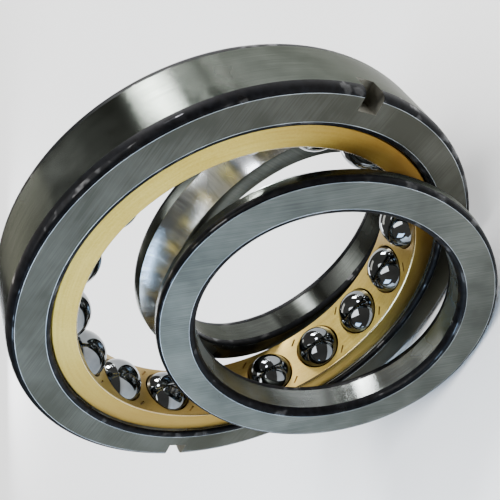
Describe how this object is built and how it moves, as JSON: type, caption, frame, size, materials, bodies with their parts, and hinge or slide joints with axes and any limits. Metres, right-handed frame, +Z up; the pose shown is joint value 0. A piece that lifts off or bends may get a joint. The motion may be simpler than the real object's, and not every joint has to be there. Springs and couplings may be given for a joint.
{
  "type": "angular contact bearing",
  "caption": "Dismantled angular contact ball bearing: outer ring with machined cage and balls, and the halves of its split inner ring leaning in through the bore.",
  "frame": {"origin": "on the bearing axis, at the middle of the outer ring's width", "axes": "+X along the bearing axis towards the slotted face, +Z up; the outer ring stands on its rim at z = -0.125 m"},
  "size_m": [0.1145, 0.2502, 0.2502],
  "materials": {
    "ring_steel": "ground, with black glossy corners and polished raceway",
    "cage_brass": "machined brass",
    "ball_steel": "mirror polished",
    "half_steel": "ground, with black glossy corners and polished raceway"
  },
  "bodies": {
    "outer_ring": {"outer_ring": "ring_steel"},
    "cage": {"cage": "cage_brass"},
    "ball_01": {"ball_01": "ball_steel"},
    "ball_02": {"ball_02": "ball_steel"},
    "ball_03": {"ball_03": "ball_steel"},
    "ball_04": {"ball_04": "ball_steel"},
    "ball_05": {"ball_05": "ball_steel"},
    "ball_06": {"ball_06": "ball_steel"},
    "ball_07": {"ball_07": "ball_steel"},
    "ball_08": {"ball_08": "ball_steel"},
    "ball_09": {"ball_09": "ball_steel"},
    "ball_10": {"ball_10": "ball_steel"},
    "ball_11": {"ball_11": "ball_steel"},
    "ball_12": {"ball_12": "ball_steel"},
    "ball_13": {"ball_13": "ball_steel"},
    "ball_14": {"ball_14": "ball_steel"},
    "ball_15": {"ball_15": "ball_steel"},
    "ball_16": {"ball_16": "ball_steel"},
    "ball_17": {"ball_17": "ball_steel"},
    "inner_half_front": {"inner_half_front": "half_steel"},
    "inner_half_rear": {"inner_half_rear": "half_steel"}
  },
  "joints": [
    {"name": "cage_spin", "type": "hinge", "parent": "outer_ring", "child": "cage", "pos_m": [0, 0, 0], "axis": [1, 0, 0], "continuous": true},
    {"name": "ball_01_roll", "type": "hinge", "parent": "cage", "child": "ball_01", "pos_m": [0, 0.09102, 0.03205], "axis": [1, 0, 0], "continuous": true},
    {"name": "ball_02_roll", "type": "hinge", "parent": "cage", "child": "ball_02", "pos_m": [0, 0.07329, 0.06277], "axis": [1, 0, 0], "continuous": true},
    {"name": "ball_03_roll", "type": "hinge", "parent": "cage", "child": "ball_03", "pos_m": [0, 0.04567, 0.08501], "axis": [1, 0, 0], "continuous": true},
    {"name": "ball_04_roll", "type": "hinge", "parent": "cage", "child": "ball_04", "pos_m": [0, 0.01188, 0.09577], "axis": [1, 0, 0], "continuous": true},
    {"name": "ball_05_roll", "type": "hinge", "parent": "cage", "child": "ball_05", "pos_m": [0, -0.02352, 0.09359], "axis": [1, 0, 0], "continuous": true},
    {"name": "ball_06_roll", "type": "hinge", "parent": "cage", "child": "ball_06", "pos_m": [0, -0.05574, 0.07877], "axis": [1, 0, 0], "continuous": true},
    {"name": "ball_07_roll", "type": "hinge", "parent": "cage", "child": "ball_07", "pos_m": [0, -0.08043, 0.05332], "axis": [1, 0, 0], "continuous": true},
    {"name": "ball_08_roll", "type": "hinge", "parent": "cage", "child": "ball_08", "pos_m": [0, -0.09426, 0.02066], "axis": [1, 0, 0], "continuous": true},
    {"name": "ball_09_roll", "type": "hinge", "parent": "cage", "child": "ball_09", "pos_m": [0, -0.09536, -0.01478], "axis": [1, 0, 0], "continuous": true},
    {"name": "ball_10_roll", "type": "hinge", "parent": "cage", "child": "ball_10", "pos_m": [0, -0.08358, -0.04823], "axis": [1, 0, 0], "continuous": true},
    {"name": "ball_11_roll", "type": "hinge", "parent": "cage", "child": "ball_11", "pos_m": [0, -0.06051, -0.07517], "axis": [1, 0, 0], "continuous": true},
    {"name": "ball_12_roll", "type": "hinge", "parent": "cage", "child": "ball_12", "pos_m": [0, -0.02927, -0.09195], "axis": [1, 0, 0], "continuous": true},
    {"name": "ball_13_roll", "type": "hinge", "parent": "cage", "child": "ball_13", "pos_m": [0, 0.00592, -0.09632], "axis": [1, 0, 0], "continuous": true},
    {"name": "ball_14_roll", "type": "hinge", "parent": "cage", "child": "ball_14", "pos_m": [0, 0.04031, -0.08768], "axis": [1, 0, 0], "continuous": true},
    {"name": "ball_15_roll", "type": "hinge", "parent": "cage", "child": "ball_15", "pos_m": [0, 0.06926, -0.06719], "axis": [1, 0, 0], "continuous": true},
    {"name": "ball_16_roll", "type": "hinge", "parent": "cage", "child": "ball_16", "pos_m": [0, 0.08886, -0.03763], "axis": [1, 0, 0], "continuous": true},
    {"name": "ball_17_roll", "type": "hinge", "parent": "cage", "child": "ball_17", "pos_m": [0, 0.09645, -0.00299], "axis": [1, 0, 0], "continuous": true},
    {"name": "front_half_tip", "type": "hinge", "parent": "outer_ring", "child": "inner_half_front", "pos_m": [0.06075, 0, -0.125], "axis": [0, 1, 0], "range_deg": [0, 104.2]},
    {"name": "rear_half_tip", "type": "hinge", "parent": "outer_ring", "child": "inner_half_rear", "pos_m": [-0.05541, 0, -0.125], "axis": [0, -1, 0], "range_deg": [0, 100.8]}
  ],
  "couplings": [
    {"joint": "ball_01_roll", "follows": "cage_spin", "ratio": -7.7542},
    {"joint": "ball_02_roll", "follows": "cage_spin", "ratio": -7.7542},
    {"joint": "ball_03_roll", "follows": "cage_spin", "ratio": -7.7542},
    {"joint": "ball_04_roll", "follows": "cage_spin", "ratio": -7.7542},
    {"joint": "ball_05_roll", "follows": "cage_spin", "ratio": -7.7542},
    {"joint": "ball_06_roll", "follows": "cage_spin", "ratio": -7.7542},
    {"joint": "ball_07_roll", "follows": "cage_spin", "ratio": -7.7542},
    {"joint": "ball_08_roll", "follows": "cage_spin", "ratio": -7.7542},
    {"joint": "ball_09_roll", "follows": "cage_spin", "ratio": -7.7542},
    {"joint": "ball_10_roll", "follows": "cage_spin", "ratio": -7.7542},
    {"joint": "ball_11_roll", "follows": "cage_spin", "ratio": -7.7542},
    {"joint": "ball_12_roll", "follows": "cage_spin", "ratio": -7.7542},
    {"joint": "ball_13_roll", "follows": "cage_spin", "ratio": -7.7542},
    {"joint": "ball_14_roll", "follows": "cage_spin", "ratio": -7.7542},
    {"joint": "ball_15_roll", "follows": "cage_spin", "ratio": -7.7542},
    {"joint": "ball_16_roll", "follows": "cage_spin", "ratio": -7.7542},
    {"joint": "ball_17_roll", "follows": "cage_spin", "ratio": -7.7542}
  ]
}
